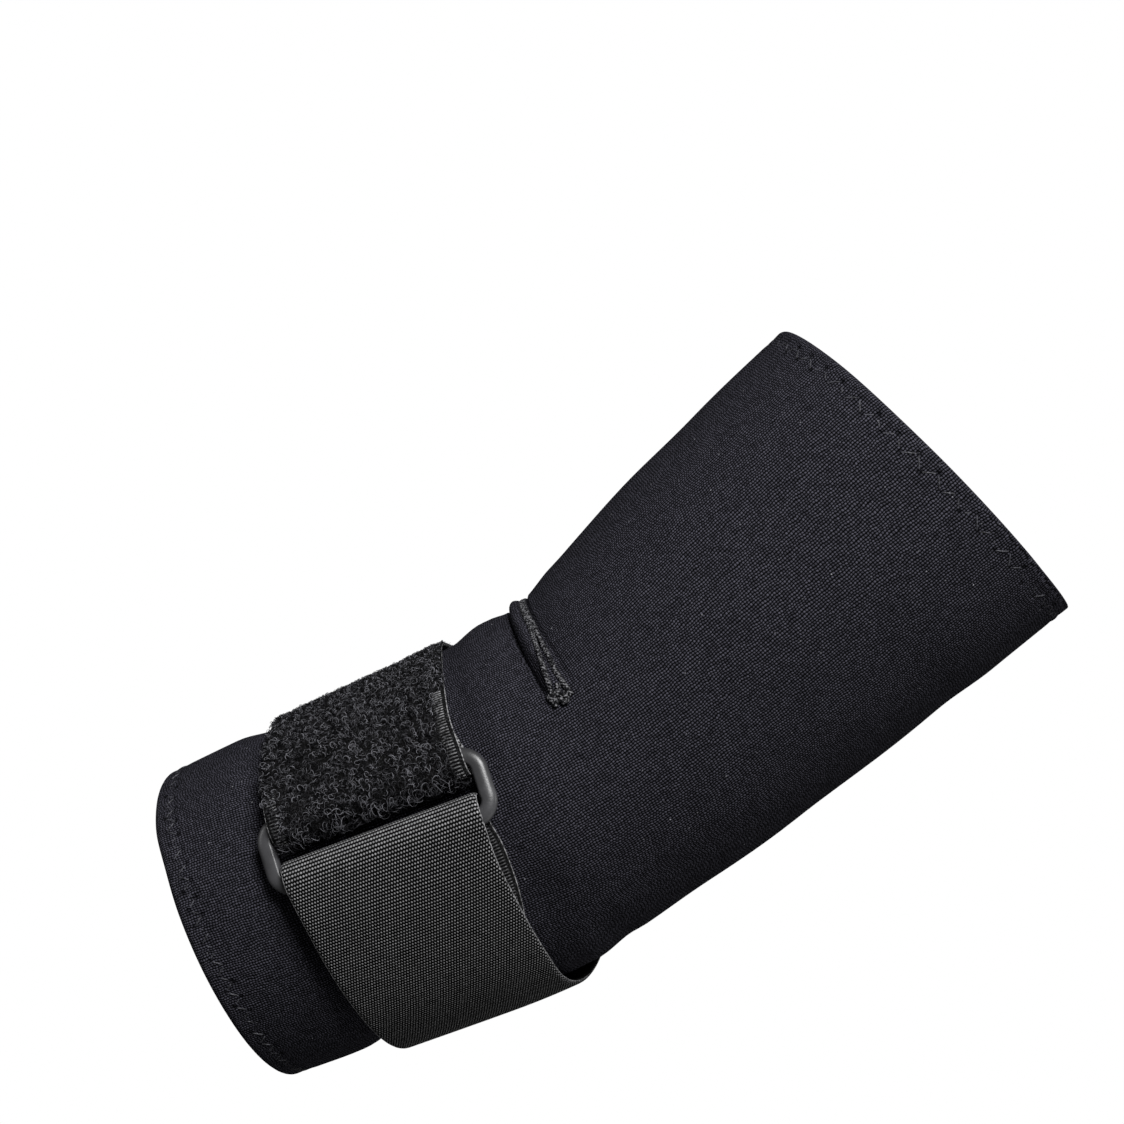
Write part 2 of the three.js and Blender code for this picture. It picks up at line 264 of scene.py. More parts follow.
def set_down(name, points, faces, threads):
    """A smooth piece of points and faces, with the thread counts at each face's corners kept in its map."""
    mesh = bpy.data.meshes.new(name)
    mesh.from_pydata((points.reshape(-1, 3) * MM).tolist(), [], faces)
    mesh.uv_layers.new(name="threads").data.foreach_set("uv", threads.astype(np.float32).ravel())
    mesh.shade_smooth()
    piece = bpy.data.objects.new(name, mesh)
    bpy.context.scene.collection.objects.link(piece)
    return piece


def cloth_piece(name, points, counts, wrap=(False, False)):
    """A piece of quads over a grid of points, with a pair of thread counts for each point."""
    rows, columns = points.shape[:2]
    i, j = np.meshgrid(np.arange(rows - 1 + wrap[0]), np.arange(columns - 1 + wrap[1]), indexing="ij")
    corners = [(i, j), (i, j + 1), (i + 1, j + 1), (i + 1, j)]
    faces = np.stack([a % rows * columns + b % columns for a, b in corners], axis=-1)
    threads = np.stack([counts[a, b] for a, b in corners], axis=-2)
    return set_down(name, points, faces.reshape(-1, 4).tolist(), threads)


class Wire:
    """A socket in a material that takes part in Python expressions: each operation adds a Math node."""

    def __init__(self, tree, socket=None):
        self.tree = tree
        self.socket = socket

    def node(self, kind, settings=None, inputs=None, output=0):
        """Adds a node of any other kind: its settings first, then the values or links of its sockets."""
        made = self.tree.nodes.new(kind)
        for name, value in (settings or {}).items():
            setattr(made, name, value)
        for name, value in (inputs or {}).items():
            if isinstance(value, Wire):
                self.tree.links.new(value.socket, made.inputs[name])
            else:
                made.inputs[name].default_value = value
        return Wire(self.tree, made.outputs[output])

    def math(self, operation, *values):
        return self.node("ShaderNodeMath", {"operation": operation}, dict(enumerate(values)))

    def __add__(self, other):
        return self.math("ADD", self, other)

    def __sub__(self, other):
        return self.math("SUBTRACT", self, other)

    def __rsub__(self, other):
        return self.math("SUBTRACT", other, self)

    def __mul__(self, other):
        return self.math("MULTIPLY", self, other)

    def __pow__(self, other):
        return self.math("POWER", self, other)

    def __mod__(self, other):
        return self.math("FLOORED_MODULO", self, other)

    def __abs__(self):
        return self.math("ABSOLUTE", self)

    def __floor__(self):
        return self.math("FLOOR", self)

    __radd__ = __add__
    __rmul__ = __mul__

    def step(self, low, high):
        """Zero at the low end, one at the high end, and a soft slope between."""
        ends = {"Value": self, "From Min": low, "From Max": high}
        return self.node("ShaderNodeMapRange", {"interpolation_type": "SMOOTHSTEP"}, ends)

    def tint(self, dark, light):
        """A colour between two others."""
        return self.node("ShaderNodeMix", {"data_type": "RGBA"}, {0: self, 6: dark, 7: light}, 2)

    def relief(self, depth):
        """A normal that follows this value as a height, where one stands for the depth."""
        return self.node("ShaderNodeBump", None, {"Height": self, "Distance": depth * MM, "Strength": 1.0})

    def noise(self, scale, detail=2.0):
        """A soft pattern in the space of the object, with so many lumps to a metre."""
        place = self.node("ShaderNodeTexCoord", output="Object")
        return self.node("ShaderNodeTexNoise", None, {"Vector": place, "Scale": scale, "Detail": detail})

    def threads(self):
        """The two thread counts that a piece keeps in its map."""
        counts = self.node("ShaderNodeUVMap", {"uv_map": "threads"})
        split = counts.node("ShaderNodeSeparateXYZ", None, {"Vector": counts})
        second = Wire(self.tree, split.socket.node.outputs["Y"])
        return split, second

    def grain(self, first, second):
        """A number between 0 and 1 of its own for each pair of whole thread counts."""
        pair = self.node("ShaderNodeCombineXYZ", None, {"X": math.floor(first), "Y": math.floor(second)})
        return self.node("ShaderNodeTexWhiteNoise", {"noise_dimensions": "2D"}, {"Vector": pair})


def new_finish(name, even):
    """A material, with the values that are the same all over set on the shader's own sockets."""
    material = bpy.data.materials.new(name)
    material.use_nodes = True
    shader = material.node_tree.nodes["Principled BSDF"]
    for socket, value in even.items():
        shader.inputs[socket].default_value = value
    return material, shader, Wire(material.node_tree)


def feed(shader, socket, wire):
    """Links a value that changes over the surface to one of the shader's sockets."""
    wire.tree.links.new(wire.socket, shader.inputs[socket])


def needle_pits(wire, wale, course):
    """How far the needle has drawn the knit in at the corners of both hems' zigzags, between 0 and 1."""
    from_narrow = course * COURSE + WALL / 2
    from_wide = (WIDE_MOUTH - NARROW_MOUTH) - from_narrow
    pits = []
    for inset, zigzags in ((from_narrow, NARROW_ZIGZAGS), (from_wide, WIDE_ZIGZAGS)):
        corner = wale * (2 * zigzags / WALES) + 0.5
        beside = (corner % 1 - 0.5) * (HEM_GIRTH / (2 * zigzags))
        beyond = inset - HEM_INSET - (math.floor(corner) % 2 - 0.5) * HEM_BREADTH
        depth = PIT_LEAST + wire.grain(corner, corner) * (1 - PIT_LEAST)
        pits.append(depth * (1 - (beside**2 + beyond**2).step(0.02, PIT_RADIUS**2)))
    return pits[0] + pits[1]


def knit_finish():
    """Fine close knit: rows of small round stitches, some duller than others, and specks of lint. The stitch
    tops carry a painted highlight, and the gaps between them and the needle pits carry painted shade.
    """
    material, shader, wire = new_finish("padded_knit", {"Specular IOR Level": 0.04})
    wale, course = wire.threads()
    pit = needle_pits(wire, wale, course)
    leaning = wale + course * KNIT_LEAN + wire.noise(420.0, 1.0) * KNIT_WANDER
    stitch = course + wire.grain(leaning, leaning) * STITCH_SHIFT
    rib = 1 - (leaning % 1 - 0.5) ** 2 * 4
    loop = 1 - (stitch % 1 - 0.5) ** 2 * 4
    height = rib * (0.3 + loop * 0.7)
    yarn = (0.45 + wire.grain(leaning, stitch) * 0.55) * (0.55 + wire.noise(1300.0, 1.0) * 0.9)
    # Painted light: the stitch tops are lighter as a painted highlight, and the gaps and needle pits darker
    # as painted shade, over the yarn's own random tone.
    tone_with_painted_light = height.step(0.3, 0.95) * yarn * (0.9 + wire.noise(90.0) * 0.2) * (1 - pit * 0.65)
    colour = tone_with_painted_light.tint(KNIT_DARK, KNIT_PAINTED_HIGHLIGHT)
    place = wire.node("ShaderNodeTexCoord", output="Object")
    fleck = wire.node("ShaderNodeTexVoronoi", None, {"Vector": place, "Scale": 300.0})
    own = Wire(wire.tree, fleck.socket.node.outputs["Color"])
    lint = (1 - fleck.step(0.03, 0.07)) * wire.node("ShaderNodeSeparateXYZ", None, {"Vector": own})
    feed(shader, "Base Color", lint.tint(colour, LINT))
    feed(shader, "Roughness", 0.95 - tone_with_painted_light * 0.3)
    feed(shader, "Normal", (height - pit * 3).relief(0.18))
    return material


def sleeve_piece():
    """The wall as one closed shell: along the outer face, round one rim, back inside and round the other."""
    stops = [
        NARROW_MOUTH + WALL / 2,
        NARROW_MOUTH + HEM_STRETCH,
        GROOVE_ALONG - DART_MARGIN,
        FAR_GROOVE_ALONG + DART_MARGIN,
        WIDE_MOUTH - HEM_STRETCH,
        WIDE_MOUTH - WALL / 2,
    ]
    stretches = zip(stops, stops[1:], ALONG_STEPS)
    rows = [np.linspace(low, high, steps, endpoint=False) for low, high, steps in stretches]
    outer = np.concatenate(rows + [stops[-1:]])
    inner = outer[::-INNER_STRIDE]
    angle = (np.arange(AROUND_STEPS) * 360 / AROUND_STEPS)[:, None]
    level = 0 * angle
    crisp = 1 - RIM_CRISPNESS * ramp(-np.sin(np.radians(angle)), *RIM_CRISP_SHARES)
    turn = np.linspace(0, np.pi, RIM_STEPS)[1:-1]
    swing = np.sign(np.cos(turn)) * np.abs(np.cos(turn)) ** crisp
    wide_rim = WIDE_MOUTH - WALL / 2 * (1 - np.sin(turn) ** crisp)
    narrow_rim = NARROW_MOUTH + WALL / 2 * (1 - np.sin(turn))
    along = np.concatenate([outer + level, wide_rim, inner + level, narrow_rim + level], axis=1)
    wide_depth = WALL / 2 * (1 - swing)
    narrow_depth = WALL / 2 * (1 + np.cos(turn))
    outer_depth = 0 * outer + level
    inner_depth = WALL + 0 * inner + level
    depth = np.concatenate([outer_depth, wide_depth, inner_depth, narrow_depth + level], axis=1)
    points = on_face(along, angle, 0.0, depth)
    steps = np.abs(np.diff(along[0], append=along[0, 0])) + np.abs(np.diff(depth[0], append=0))
    course = np.concatenate([[0], np.cumsum(steps)]) / COURSE
    wale = np.arange(AROUND_STEPS + 1) * WALES / AROUND_STEPS
    counts = np.stack(np.meshgrid(wale, course, indexing="ij"), axis=-1)
    return cloth_piece("sleeve_knit", points, counts, (True, True))


sleeve = sleeve_piece()
sleeve.data.materials.append(knit_finish())
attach(sleeve, "root")
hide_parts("sleeve")


# Hem stitches: one zigzag row of fine black thread a few millimetres inside each mouth. It dips into the
# knit at its corners, and some stitches are drawn so tight that the knit nearly hides them.
THREAD_RADIUS = 0.22
THREAD_SIDES = 6
STITCH_STEPS = 6
STITCH_RISE = 0.44
STITCH_SINK = 0.34
STITCH_DRAW = 0.3
STITCH_SEED = 7
HEM_DARK = (0.003, 0.003, 0.0035, 1)
HEM_PAINTED_GLINT = (0.085, 0.085, 0.1, 1)


def thread_piece(name, paths, radius, upright, sides):
    """Closed round threads along paths of points, [thread, point], with their sides set by a direction.
    The map keeps each thread's own number, and the distance along it."""
    count, length = paths.shape[:2]
    forward = unit(np.gradient(paths, axis=1))
    sideways = unit(np.cross(forward, upright))
    lift = np.cross(sideways, forward)
    turn = 2 * np.pi * np.arange(sides) / sides
    around = np.cos(turn)[:, None] * sideways[:, :, None] + np.sin(turn)[:, None] * lift[:, :, None]
    rings = paths[:, :, None] + np.broadcast_to(radius, (count, length))[..., None, None] * around
    place = np.arange(count * length * sides).reshape(count, length, sides)
    after = np.roll(place, -1, axis=2)
    quads = np.stack([place[:, :-1], place[:, 1:], after[:, 1:], after[:, :-1]], axis=-1)
    caps = np.concatenate([place[:, 0], place[:, -1, ::-1]])
    steps = np.linalg.norm(np.diff(paths, axis=1), axis=-1)
    run = np.concatenate([np.zeros((count, 1)), np.cumsum(steps, axis=1)], axis=1)
    number = np.broadcast_to(np.arange(count)[:, None] + 0.5, run.shape)
    threads = np.repeat(np.stack([number, run], axis=-1).reshape(-1, 2), sides, axis=0)
    corners = np.concatenate([quads.ravel(), caps.ravel()])
    return set_down(name, rings, quads.reshape(-1, 4).tolist() + caps.tolist(), threads[corners])


def hem_finish():
    """Fine sewing thread: black, with a soft lustre painted into its colour as light flecks, broken up along
    its length.
    """
    material, shader, wire = new_finish("hem_thread", {"Specular IOR Level": 0.3})
    # Painted glint: light flecks along the thread, where its lustre would catch the light.
    ply = wire.noise(2200.0, 1.0).step(0.3, 0.75)
    feed(shader, "Base Color", ply.tint(HEM_DARK, HEM_PAINTED_GLINT))
    feed(shader, "Roughness", 0.6 - ply * 0.25)
    feed(shader, "Normal", ply.relief(0.06))
    return material


def hem_piece(name, mouth, side, zigzags):
    """One row of zigzag stitches right round a mouth. Side points from the mouth into the sleeve."""
    count = zigzags * 2 * STITCH_STEPS
    step = np.arange(count) / STITCH_STEPS
    within = step % 1
    leaning = np.where(np.floor(step) % 2 == 0, within, 1 - within) - 0.5
    angle = (step / (2 * zigzags)) * 360
    along = mouth + side * (HEM_INSET + HEM_BREADTH * leaning)
    drawn = np.repeat(np.random.default_rng(STITCH_SEED).uniform(0, STITCH_DRAW, zigzags * 2), STITCH_STEPS)
    lift = (STITCH_RISE - drawn) * np.sin(np.pi * within) - STITCH_SINK
    path = on_face(along, angle, lift)
    upright = unit(on_face(along, angle, lift + 1) - path)
    return thread_piece(name, path[None], THREAD_RADIUS, upright[None], THREAD_SIDES)


hem_thread = hem_finish()
hem_rows = [
    hem_piece("hem_stitches_narrow", NARROW_MOUTH, 1, NARROW_ZIGZAGS),
    hem_piece("hem_stitches_wide", WIDE_MOUTH, -1, WIDE_ZIGZAGS),
]
for row in hem_rows:
    row.data.materials.append(hem_thread)
    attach(row, "root")


# Dart stitching: two rows of thick three-ply thread that hold the dart's fold shut. They touch over the top,
# spread towards both ends of the dart, and finish there in a knot and a loose loop.
PLIES = 3
PLY_SIDES = 8
PLY_RADIUS = 0.33
PLY_OFFSET = 0.38
PLY_PITCH = 2.6

# Both rows: the sleeve's radius at the dart, how far they reach from its middle, how they sink into the fold
# over the top, and their places along the sleeve by the angle from the middle.
ROW_RADIUS = SECTION_HALF_HEIGHT[3]
ROW_STEP = 0.16
ROW_REACH = 81.5
ROW_SINK = 0.6
ROW_SINK_ANGLES = (10.0, 40.0)
NEAR_ROW_ALONG = np.array([13.9, 13.9, 13.7, 12.8, 11.7, 10.8, 8.7])
FAR_ROW_ALONG = np.array([14.3, 14.6, 14.75, 14.2, 13.8, 13.4, 13.5])
ROW_OFF_MIDDLE = np.array([0.0, 30.0, 46.0, 57.0, 66.0, 72.0, ROW_REACH])

# The knot and the loop: angles and places along the sleeve, at the dart's front end.
KNOT_ANGLE = [13.4, 11.4, 10.2, 11.6, 12.6, 11.3, 10.0, 8.4]
KNOT_ALONG = [8.4, 8.5, 9.1, 9.9, 10.4, 10.9, 10.2, 8.6]
LOOP_ANGLE = [14.6, 12.0, 9.6, 7.9, 7.6, 8.8, 10.8]
LOOP_ALONG = [12.4, 11.4, 10.7, 10.9, 11.9, 12.4, 12.0]
KNOT_STEPS = 120
KNOT_EASE = 9
KNOT_RISE = 0.5
KNOT_WAVES = 2.5
DART_DARK = (0.006, 0.006, 0.007, 1)
DART_PAINTED_HIGHLIGHT = (0.17, 0.17, 0.18, 1)


def twisted_row(along, angle, lift):
    """Plies wound round each other along a row of places on the sleeve."""
    middle = on_face(along, angle, lift)
    upright = unit(on_face(along, angle, lift + 1) - middle)
    sideways = unit(np.cross(np.gradient(middle, axis=0), upright))
    run = np.concatenate([[0], np.cumsum(np.linalg.norm(np.diff(middle, axis=0), axis=1))])
    plies = []
    for ply in range(PLIES):
        turn = 2 * np.pi * (run / PLY_PITCH + ply / PLIES)[:, None]
        plies.append(middle + PLY_OFFSET * (np.cos(turn) * sideways + np.sin(turn) * upright))
    return np.stack(plies), np.stack([upright] * PLIES)


def eased(values):
    """A list of values as many close steps, with its corners rounded off."""
    fine = np.interp(np.linspace(0, len(values) - 1, KNOT_STEPS), np.arange(len(values)), values)
    weights = np.hanning(2 * KNOT_EASE + 1)
    return np.convolve(np.pad(fine, KNOT_EASE, "edge"), weights / weights.sum(), "valid")


def dart_finish():
    """Thick thread: each ply is dark in the gaps, with pale flecks painted at the top of its twist as a
    highlight.
    """
    material, shader, wire = new_finish("dart_thread", {"Specular IOR Level": 0.05})
    number, run = wire.threads()
    slant = math.hypot(PLY_PITCH, 2 * math.pi * PLY_OFFSET)
    turn = run * (1 / slant) + math.floor(number) * (1 / PLIES) + 0.75
    outwards = (abs(turn % 1 - 0.5) * 2).step(0.25, 0.9)
    # Painted highlight: pale flecks where each ply's twist faces outwards, broken into dashes by noise.
    pale = outwards * wire.noise(2000.0, 1.0).step(0.46, 0.6)
    feed(shader, "Base Color", pale.tint(DART_DARK, DART_PAINTED_HIGHLIGHT))
    feed(shader, "Roughness", 0.7 - outwards * 0.2)
    return material


def dart_rows():
    """The two long rows, and the knot and the loop at each end of the dart."""
    count = int(2 * math.radians(ROW_REACH) * ROW_RADIUS / ROW_STEP)
    off = np.linspace(-ROW_REACH, ROW_REACH, count)
    pieces = []
    for name, column in (("dart_thread_near", NEAR_ROW_ALONG), ("dart_thread_far", FAR_ROW_ALONG)):
        along = np.interp(np.abs(off), ROW_OFF_MIDDLE, column)
        lift = PLY_RADIUS - ROW_SINK * (1 - ramp(np.abs(off), *ROW_SINK_ANGLES))
        paths, upright = twisted_row(along, DART_MIDDLE + off, lift)
        pieces.append(thread_piece(name, paths, PLY_RADIUS, upright, PLY_SIDES))
    for kind, angles, places in (("knot", KNOT_ANGLE, KNOT_ALONG), ("loop", LOOP_ANGLE, LOOP_ALONG)):
        angle = eased(angles)
        along = eased(places)
        rise = PLY_RADIUS + KNOT_RISE * np.sin(np.linspace(0, KNOT_WAVES * np.pi, KNOT_STEPS)) ** 2
        for side, shown in (("front", angle), ("back", 180 - angle)):
            paths, upright = twisted_row(along, shown, rise)
            pieces.append(thread_piece(f"dart_{kind}_{side}", paths, PLY_RADIUS, upright, PLY_SIDES))
    return pieces


dart_thread = dart_finish()
for row in dart_rows():
    row.data.materials.append(dart_thread)
    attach(row, "root")


# Ring: a flat oblong ring moulded in dark grey plastic, with rounded edges and a satin face. It lies on the
# strap's lower layer, and the strap's two ends fold round its long bars.
RING_LENGTH = 59.0
RING_HEIGHT = 19.5
RING_THICKNESS = 3.2
RING_BAR = 4.2
RING_END_BAR = 4.0
RING_CORNER = 6.5
RING_WINDOW_CORNER = 2.0
RING_EDGE = 1.4
RING_SHOULDER = 2.3
RING_WINDOW_EDGE = 0.9
RING_CORNER_STEPS = 16
RING_SIDE_STEPS = 14
RING_EDGE_STEPS = 8
RING_DARK = (0.032, 0.032, 0.034, 1)
RING_LIGHT = (0.058, 0.058, 0.062, 1)

# The strap that the ring lies on goes round at a slight skew, and stands off more on the sleeve's underside.
STRAP_THICKNESS = 2.0
STRAP_SKEW = 4.0
STRAP_GAP = 0.5
FLARE_HALF_ANGLE = 62.0
FLARE_AT_OUTER_EDGE = 0.6
FLARE_AT_BEND_EDGE = 1.7
RING_ANGLE = 1.1
RING_CLEARANCE = 0.5
RING_LIFT = STRAP_GAP + STRAP_THICKNESS + RING_CLEARANCE + RING_THICKNESS / 2


def on_strap(across, angle, lift):
    """Points at a height over the sleeve, at a place across the strap's width."""
    skewed = angle + STRAP_SKEW * (0.5 - across)
    share = FLARE_AT_OUTER_EDGE + (FLARE_AT_BEND_EDGE - FLARE_AT_OUTER_EDGE) * across
    flare = share * bump(turn_from(UNDERSIDE, skewed), FLARE_HALF_ANGLE)
    return on_sleeve(strap_along(across, skewed), skewed, lift + flare)


def ring_axes():
    """The ring's middle, and its own directions: along the ring, up its short side, and outwards."""
    outer_end = on_strap(0.0, RING_ANGLE, RING_LIFT)
    bend_end = on_strap(1.0, RING_ANGLE, RING_LIFT)
    along = unit(bend_end - outer_end)
    outwards = on_strap(0.5, RING_ANGLE, RING_LIFT) - on_strap(0.5, RING_ANGLE, 0.0)
    outwards = unit(outwards - outwards.dot(along) * along)
    return (outer_end + bend_end) / 2, np.stack([along, np.cross(outwards, along), outwards])


def rounded_outline(width, height, corner):
    """A rectangle with round corners, as the same number of points whatever its size."""
    outline = []
    for quarter in range(4):
        x = (width / 2 - corner) * (1 if quarter in (0, 3) else -1)
        y = (height / 2 - corner) * (1 if quarter in (0, 1) else -1)
        turn = np.pi / 2 * (quarter + np.linspace(0, 1, RING_CORNER_STEPS))
        outline.append(np.stack([x + corner * np.cos(turn), y + corner * np.sin(turn)], axis=-1))
    filled = []
    for arc, following in zip(outline, outline[1:] + outline[:1]):
        straight = np.linspace(arc[-1], following[0], RING_SIDE_STEPS)[1:-1]
        filled += [arc, straight]
    return np.concatenate(filled)


def ring_piece():
    """The ring's rounded section, carried round between its outer outline and its window."""
    outer = rounded_outline(RING_LENGTH, RING_HEIGHT, RING_CORNER)
    window_length = RING_LENGTH - 2 * RING_END_BAR
    window_height = RING_HEIGHT - 2 * RING_BAR
    window = rounded_outline(window_length, window_height, RING_WINDOW_CORNER)
    breadth = np.linalg.norm(window - outer, axis=1)
    inwards = (window - outer) / breadth[:, None]
    turn = np.linspace(0, np.pi / 2, RING_EDGE_STEPS)
    shoulder = RING_SHOULDER * (1 - np.cos(turn))
    window_edge = RING_WINDOW_EDGE * (1 - np.cos(turn))
    heights = RING_THICKNESS / 2 - RING_EDGE * (1 - np.sin(turn))
    section = [(d, z, False) for d, z in zip(shoulder, heights)]
    section += [(d, z, True) for d, z in zip(window_edge[::-1], heights[::-1])]
    section += [(d, -z, True) for d, z in zip(window_edge, heights)]
    section += [(d, -z, False) for d, z in zip(shoulder[::-1], heights[::-1])]
    middle, axes = ring_axes()
    columns = []
    for distance, z, from_window in section[::-1]:
        flat = window - inwards * distance if from_window else outer + inwards * distance
        local = np.column_stack([flat, np.full(len(flat), z)])
        columns.append(middle + local @ axes)
    points = np.stack(columns, axis=1)
    counts = np.zeros((points.shape[0] + 1, points.shape[1] + 1, 2))
    return cloth_piece("ring_moulding", points, counts, (True, True))


def moulded_finish():
    """Satin moulded plastic: a fine even grain, and a colour and a gloss that vary a little."""
    material, shader, wire = new_finish("moulded_ring", {"Specular IOR Level": 0.5, "IOR": 1.5})
    grain = wire.noise(1900.0, 3.0)
    cloud = wire.noise(160.0, 3.0)
    feed(shader, "Base Color", cloud.step(0.3, 0.7).tint(RING_DARK, RING_LIGHT))
    feed(shader, "Roughness", 0.27 + cloud * 0.14 + grain * 0.06)
    feed(shader, "Normal", grain.relief(0.03))
    return material


ring = ring_piece()
ring.data.materials.append(moulded_finish())
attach(ring, "root")
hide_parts("buckle_ring")


# Strap: one length of black webbing. Its back is a plain basket weave that shows on the tail, and its face
# carries loop pile. One end folds round the ring's upper bar. The other goes once round the sleeve, over the
# lower bar and back on itself.
LAYER_GAP = 0.3
LOW_LAYER = STRAP_GAP + STRAP_THICKNESS / 2
HIGH_LAYER = LOW_LAYER + STRAP_THICKNESS + LAYER_GAP

# Rows that the strap follows: angle, lift, and how far its outer edge and its bend edge are drawn in.
TUCKED_END = [(38, LOW_LAYER, 2.0, 2.0), (28, LOW_LAYER, 2.0, 2.0), (19, LOW_LAYER + 0.3, 0.8, 0.8)]
LEAVING_RING = [(22, 6.9, 0.5, 0.0), (33, 5.0, 1.1, 0.0), (45, 3.2, 1.5, 0.2), (58, 2.1, 1.6, 0.8)]
OVER_TOP = [(72, 2.0, 1.6, 1.6), (87, 1.9, 1.5, 2.4)]
TAIL_LEAVING_RING = [(-21, 7.0, -0.1, 2.0), (-33, 5.3, -0.4, 2.5), (-47, 4.1, -0.6, 3.1)]
TAIL = range(-61, -188, -14)
ROUND_SLEEVE = range(102, 343, 15)

# The edges on the way round and on the tail wander: angles, and how far each edge is drawn in there.
ROUND_ANGLES = [85, 140, 200, 250, 292, 305, 318, 332, 348]
ROUND_OUTER = [1.6, 0.0, 0.0, 0.0, 0.2, 0.6, 1.0, 1.0, 0.4]
ROUND_BEND = [2.4, 0.0, 0.0, 10.0, 10.0, 6.5, 2.4, 0.6, -0.3]
TAIL_ANGLES = [-187, -140, -120, -95, -80, -61]
TAIL_OUTER = [0.0, 1.5, 1.5, -0.3, -0.6, -0.6]
TAIL_BEND = [0.0, -2.0, -2.0, 3.0, 4.4, 3.6]

# Steps of the mesh: degrees round a bar, distance along the strap, and places across it, close at its edges.
TURN_STEP = 45
STATION = 0.9
EDGE_PLACES = np.array([0.0, 0.12, 0.35, 0.7, 1.1, 1.6, 2.2, 2.9])
INSIDE_FROM = 3.9
INSIDE_STEPS = 34

# The woven ground: how high it reaches over the strap's middle, its round edges, its picks and rows, and the
# stretch past the tail's fold over which the weave opens.
GROUND_TOP = 0.35
GROUND_EDGE = 1.1
GROUND_EDGE_LEAST = 0.06
GROUND_HALF = (GROUND_TOP + STRAP_THICKNESS / 2) / 2
GROUND_MIDDLE = GROUND_TOP - GROUND_HALF
PICK = 0.74
ROW = 0.84
WEAVE_OPENS = (2.0, 11.0)
# Colours: the weave's near-black gaps as painted shade and the painted glint on its picks, then the pile's
# plain black ground with lighter yarn.
WEAVE_DARK = (0.0008, 0.0008, 0.0008, 1)
WEAVE_PAINTED_GLINT = (0.31, 0.31, 0.317, 1)
GROUND_DARK = (0.0015, 0.0015, 0.0015, 1)
GROUND_LIGHT = (0.04, 0.04, 0.043, 1)


def bar_turn(side):
    """The strap's turn round one of the ring's bars, on the ring's own short and outward axes."""
    reach = RING_THICKNESS / 2 + RING_CLEARANCE + STRAP_THICKNESS / 2
    window_edge = RING_HEIGHT / 2 - RING_BAR
    far_side = side * (RING_HEIGHT / 2 - RING_EDGE)
    turn = np.radians(np.arange(-90, 91, TURN_STEP))
    bend = np.column_stack([side * (window_edge - reach * np.cos(turn)), reach * np.sin(turn)])
    return np.concatenate([[[far_side, -reach]], bend, [[far_side, reach]]])


def wandering(rows, lift, angles, outer, bend):
    """Rows at one height, with edges that wander between the given angles."""
    edges = [(np.interp(angle, angles, outer), np.interp(angle, angles, bend)) for angle in rows]
    return [(angle, lift, *edge) for angle, edge in zip(rows, edges)]


def strap_keys(across):
    """The places that the middle of the strap's thickness goes through, in the order of its length. With
    them come the last key of its fold round the upper bar, and the first of its turn round the lower one."""
    middle, axes = ring_axes()
    x = (across - 0.5) * STRAP_WIDTH
    keys = []

    def lay(rows):
        for angle, lift, outer, bend in rows:
            place = outer + across * (STRAP_WIDTH - outer - bend)
            keys.append(on_strap(place / STRAP_WIDTH, angle, lift))

    def wrap(turn):
        for y, z in turn:
            keys.append(middle + x[:, None] * axes[0] + y * axes[1] + z * axes[2])

    lay(TUCKED_END)
    wrap(bar_turn(1))
    fold_out = len(keys) - 1
    lay(LEAVING_RING + OVER_TOP + wandering(ROUND_SLEEVE, LOW_LAYER, ROUND_ANGLES, ROUND_OUTER, ROUND_BEND))
    round_end = len(keys)
    wrap(bar_turn(-1))
    lay(TAIL_LEAVING_RING + wandering(TAIL, HIGH_LAYER, TAIL_ANGLES, TAIL_OUTER, TAIL_BEND))
    return np.stack(keys), fold_out, round_end


def curve_through(keys):
    """A smooth centripetal curve through each column of keys, with close, even stations."""
    keys = np.concatenate([[2 * keys[0] - keys[1]], keys, [2 * keys[-1] - keys[-2]]])
    gaps = np.sqrt(np.linalg.norm(np.diff(keys, axis=0), axis=-1))[..., None]
    stations = []
    starts = []
    for i in range(1, len(keys) - 2):
        before, here, after = gaps[i - 1], gaps[i], gaps[i + 1]
        k0, k1, k2, k3 = keys[i - 1], keys[i], keys[i + 1], keys[i + 2]
        leave = ((k1 - k0) / before - (k2 - k0) / (before + here) + (k2 - k1) / here) * here
        arrive = ((k2 - k1) / here - (k3 - k1) / (here + after) + (k3 - k2) / after) * here
        steps = max(2, math.ceil(float(np.mean(here**2)) / STATION))
        starts.append(len(stations))
        for p in np.arange(steps) / steps:
            cubic = 2 * k1 - 2 * k2 + leave + arrive
            square = -3 * k1 + 3 * k2 - 2 * leave - arrive
            stations.append(k1 + p * leave + p**2 * square + p**3 * cubic)
    starts.append(len(stations))
    stations.append(keys[-2])
    return np.stack(stations), starts


inside = np.linspace(INSIDE_FROM, STRAP_WIDTH - INSIDE_FROM, INSIDE_STEPS)
strap_across = np.concatenate([EDGE_PLACES, inside, STRAP_WIDTH - EDGE_PLACES[::-1]])
keys, fold_key, round_key = strap_keys(strap_across / STRAP_WIDTH)
strap_lines, strap_starts = curve_through(keys)
strap_out = unit(np.cross(np.gradient(strap_lines, axis=1), np.gradient(strap_lines, axis=0)))
middle_line = strap_lines[:, len(strap_across) // 2]
strap_run = np.concatenate([[0], np.cumsum(np.linalg.norm(np.diff(middle_line, axis=0), axis=1))])


def run_at(key):
    """The distance along the strap at one of its keys."""
    return strap_run[strap_starts[key]]


